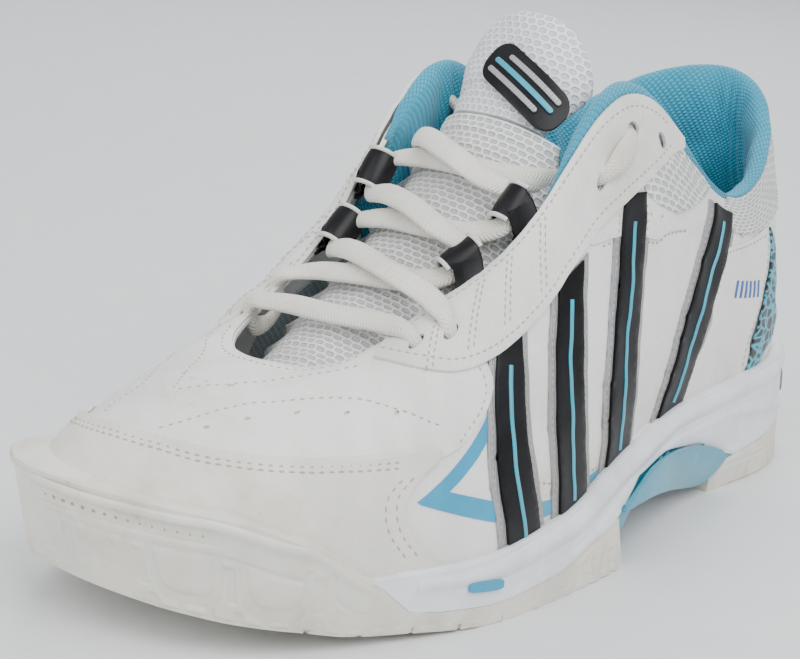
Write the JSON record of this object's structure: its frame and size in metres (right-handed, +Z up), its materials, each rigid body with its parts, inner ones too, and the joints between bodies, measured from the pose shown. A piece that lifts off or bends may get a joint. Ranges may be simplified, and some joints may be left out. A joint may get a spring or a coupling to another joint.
{
  "type": "court shoe",
  "caption": "Left low-cut indoor court shoe, laced through eyelets and webbing loops, with a wrapped rubber toe, split outsole and padded collar.",
  "frame": {"origin": "on the ground, below the middle of the shoe's length and width", "axes": "+X to the toe, +Y to the wearer's left (the outer side of this left shoe), +Z up"},
  "size_m": [0.2702, 0.1057, 0.1377],
  "materials": {
    "outsole_rubber": "matte, scuffed",
    "midsole_foam": "smooth moulded foam",
    "shank_plastic": "tinted, satin",
    "gel": "soft gel",
    "insert_grey": "matte",
    "board": "non-woven board",
    "footbed_fabric": "knitted cover on foam",
    "white_leather": "smooth coated leather",
    "toe_leather": "fine twill-grained coated leather",
    "ribbed_synthetic": "fine ribbed coated synthetic",
    "moulded_cage": "satin, piped and stitched",
    "marble_print": "printed marbled film",
    "white_mesh": "open spacer mesh",
    "tongue_mesh": "coarse honeycomb mesh",
    "collar_knit": "knitted mesh",
    "padding": "open foam",
    "lining": "brushed textile",
    "stiffener": "thermoplastic sheet",
    "badge_rubber": "raised, glossy",
    "webbing_grey": "woven tape",
    "sleeve_black": "clear-coated black",
    "lace_cotton": "flat woven lace",
    "aglet_clear": "clear film"
  },
  "bodies": {
    "shoe": {"outsole_forefoot": "outsole_rubber", "outsole_heel": "outsole_rubber", "midsole": "midsole_foam", "shank_plate": "shank_plastic", "forefoot_gel_pad": "gel", "heel_gel_pad": "gel", "heel_inserts": "insert_grey", "strobel_board": "board", "sockliner_front": "footbed_fabric", "vamp": "white_leather", "quarter_lateral": "white_leather", "quarter_medial": "white_leather", "heel_back": "white_mesh", "toe_cap": "toe_leather", "toe_puff": "stiffener", "vamp_lining": "lining", "eyestay_lateral": "ribbed_synthetic", "eyestay_medial": "ribbed_synthetic", "side_cage_lateral": "moulded_cage", "side_cage_medial": "moulded_cage", "mesh_window_lateral": "white_mesh", "mesh_window_medial": "white_mesh", "heel_overlay": "marble_print", "heel_tab": "white_mesh", "heel_counter": "stiffener", "collar_foam": "padding", "collar_lining": "collar_knit", "tongue_body": "white_mesh", "loop_webbing_lateral": "webbing_grey", "loop_webbing_medial": "webbing_grey", "loop_sleeves_lateral": "sleeve_black", "loop_sleeves_medial": "sleeve_black", "shoelace": "lace_cotton", "aglets": "aglet_clear"},
    "sockliner_heel": {"sockliner_heel": "footbed_fabric"},
    "tongue_top": {"tongue_top": "tongue_mesh", "tongue_badge": "badge_rubber"}
  },
  "joints": [
    {"name": "tongue_fold", "type": "hinge", "parent": "shoe", "child": "tongue_top", "pos_m": [-0.0018, -0.002, 0.1112], "axis": [0, 1, 0], "range_deg": [0, 60], "stiffness_Nm_per_rad": 0.08},
    {"name": "footbed_lift", "type": "hinge", "parent": "shoe", "child": "sockliner_heel", "pos_m": [-0.022, -0.002, 0.0273], "axis": [0, 1, 0], "range_deg": [0, 12]}
  ]
}
